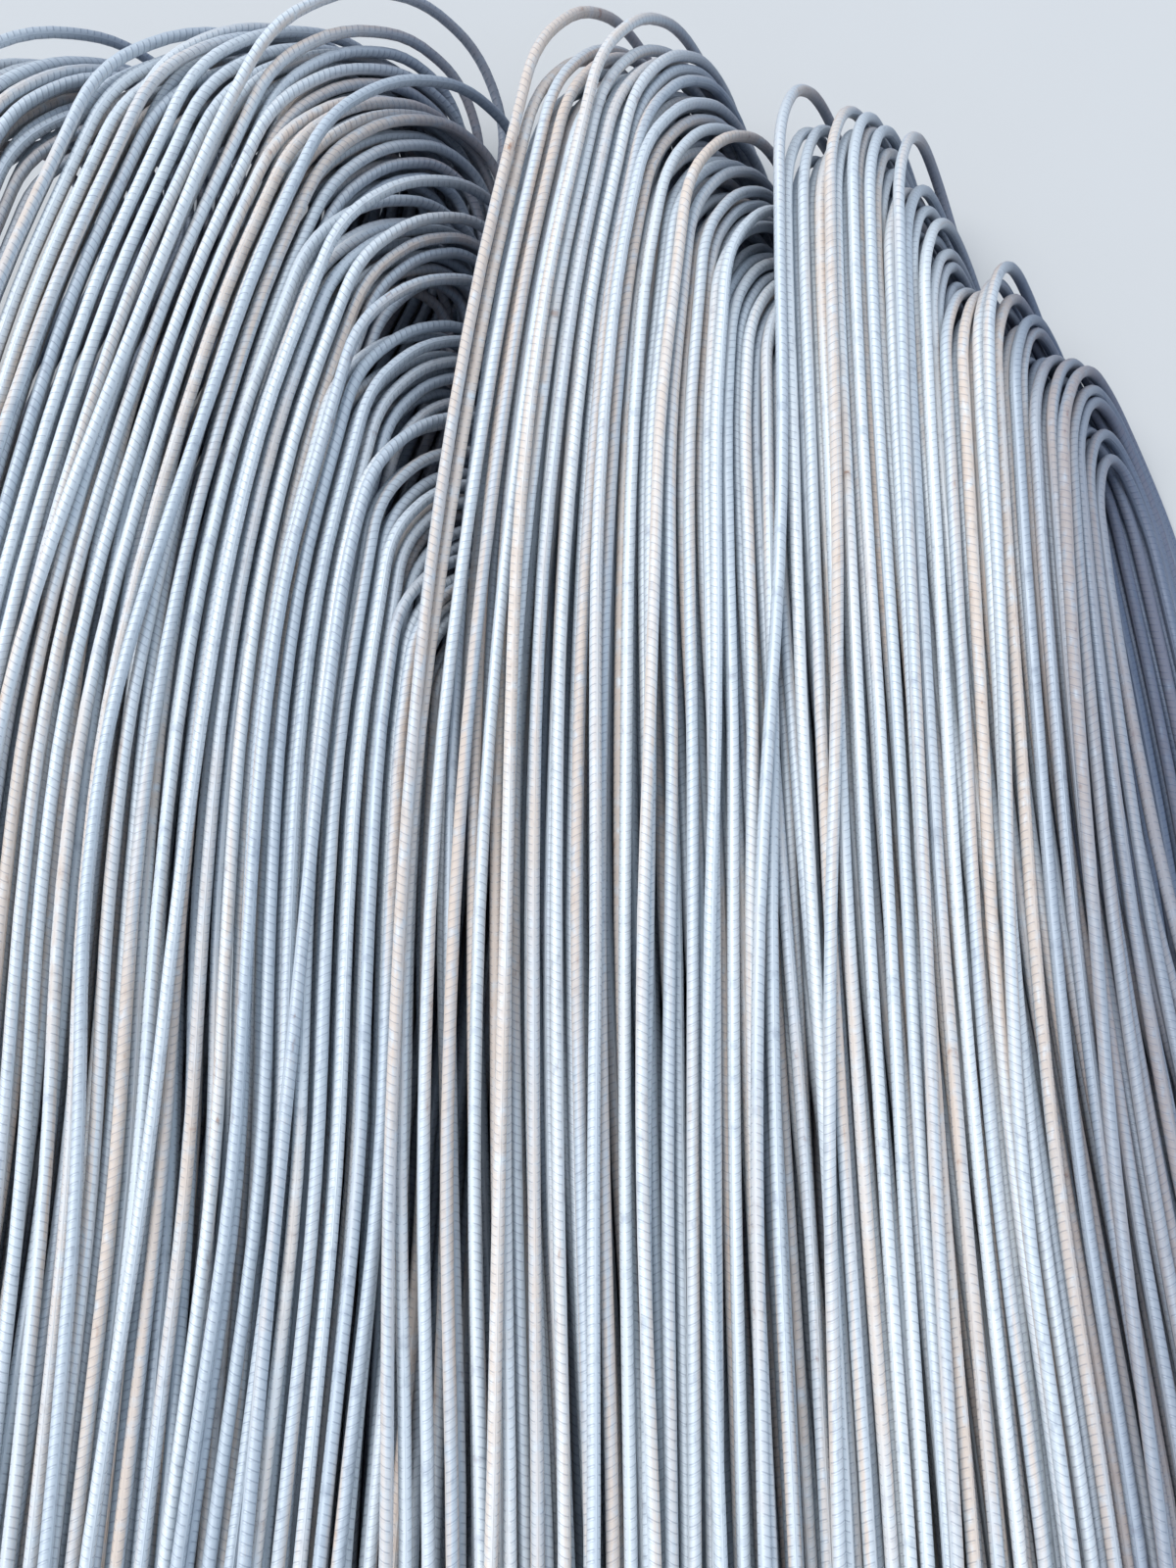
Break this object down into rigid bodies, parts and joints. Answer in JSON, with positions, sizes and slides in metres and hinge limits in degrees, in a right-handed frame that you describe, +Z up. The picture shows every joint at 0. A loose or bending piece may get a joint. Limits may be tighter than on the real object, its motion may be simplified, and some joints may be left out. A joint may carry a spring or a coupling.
{
  "type": "heap of hairpin-bent reinforcing bars",
  "caption": "Heap of ribbed steel reinforcing bars, each bent double into a long hairpin, in overlapping bundles with staggered bends at one end and cut ends at the other.",
  "frame": {"origin": "on the ground, under the middle of the heap's outline", "axes": "+Y along the bars towards their bends, +X to the right of someone who looks along +Y, +Z up"},
  "size_m": [1.86, 6.8386, 0.2682],
  "materials": {
    "bar_steel": "hot-rolled mill scale, pale bluish grey with a thin tan rust bloom in places"
  },
  "bodies": {
    "root": {"far_left_bundle_layer_1": "bar_steel", "far_left_bundle_layer_2": "bar_steel", "far_left_bundle_layer_3": "bar_steel", "far_left_bundle_layer_4": "bar_steel", "far_left_bundle_stray_bars": "bar_steel", "left_bundle_layer_1": "bar_steel", "left_bundle_layer_2": "bar_steel", "left_bundle_layer_3": "bar_steel", "left_bundle_layer_4": "bar_steel", "left_bundle_stray_bars": "bar_steel", "middle_bundle_layer_1": "bar_steel", "middle_bundle_layer_2": "bar_steel", "middle_bundle_layer_3": "bar_steel", "middle_bundle_layer_4": "bar_steel", "middle_bundle_stray_bars": "bar_steel", "right_bundle_layer_1": "bar_steel", "right_bundle_layer_2": "bar_steel", "right_bundle_layer_3": "bar_steel", "right_bundle_layer_4": "bar_steel", "right_bundle_stray_bars": "bar_steel"}
  },
  "joints": []
}
